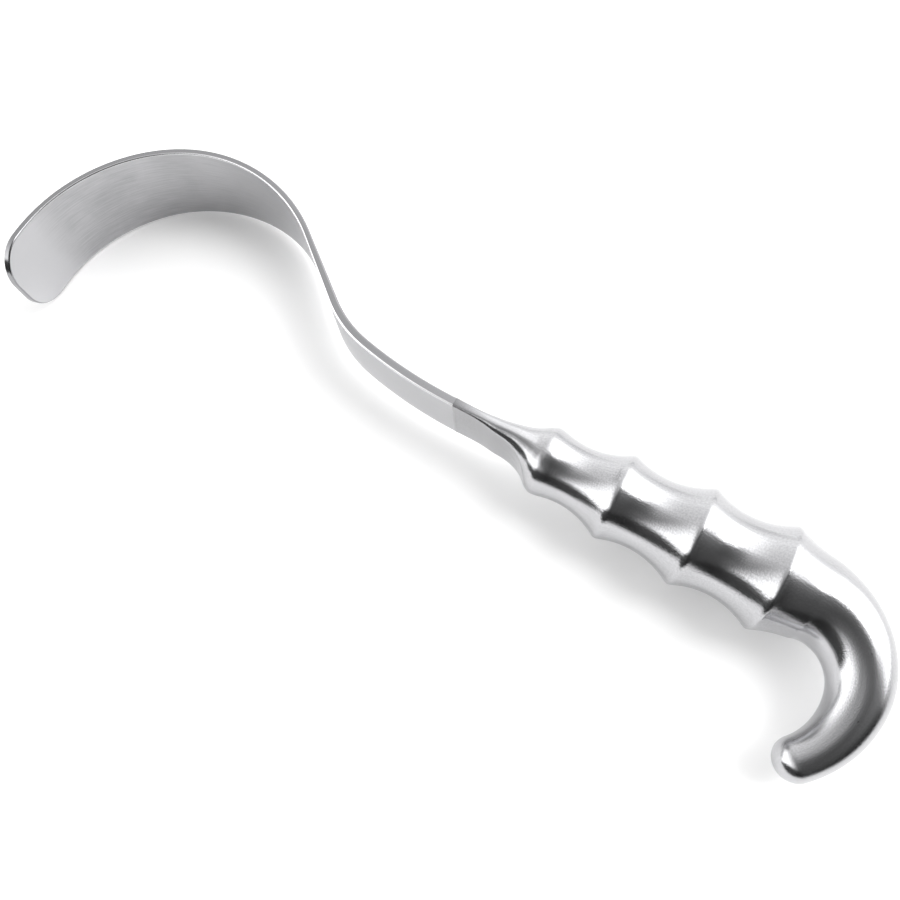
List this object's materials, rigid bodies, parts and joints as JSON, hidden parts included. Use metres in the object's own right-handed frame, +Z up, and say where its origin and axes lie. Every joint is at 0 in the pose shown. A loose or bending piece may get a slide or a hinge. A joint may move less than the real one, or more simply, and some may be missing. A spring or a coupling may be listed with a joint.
{
  "type": "handheld surgical retractor",
  "caption": "Curved steel blade on a bent shank, welded to a hollow polished grip with finger crests and a hooked end, for holding tissue back by hand.",
  "frame": {"origin": "on the table, under the middle of the part's bounding box, with the retractor lying on its side", "axes": "+X along the grip from the blade towards the hook, +Y towards the side that the blade bulges to, +Z up, across the width of the blade"},
  "size_m": [0.2434, 0.0718, 0.0267],
  "materials": {
    "satin_blade_steel": "satin, ground along its length",
    "polished_handle_steel": "bright polish with a faint haze"
  },
  "bodies": {
    "root": {"blade": "satin_blade_steel", "handle": "polished_handle_steel"}
  },
  "joints": []
}
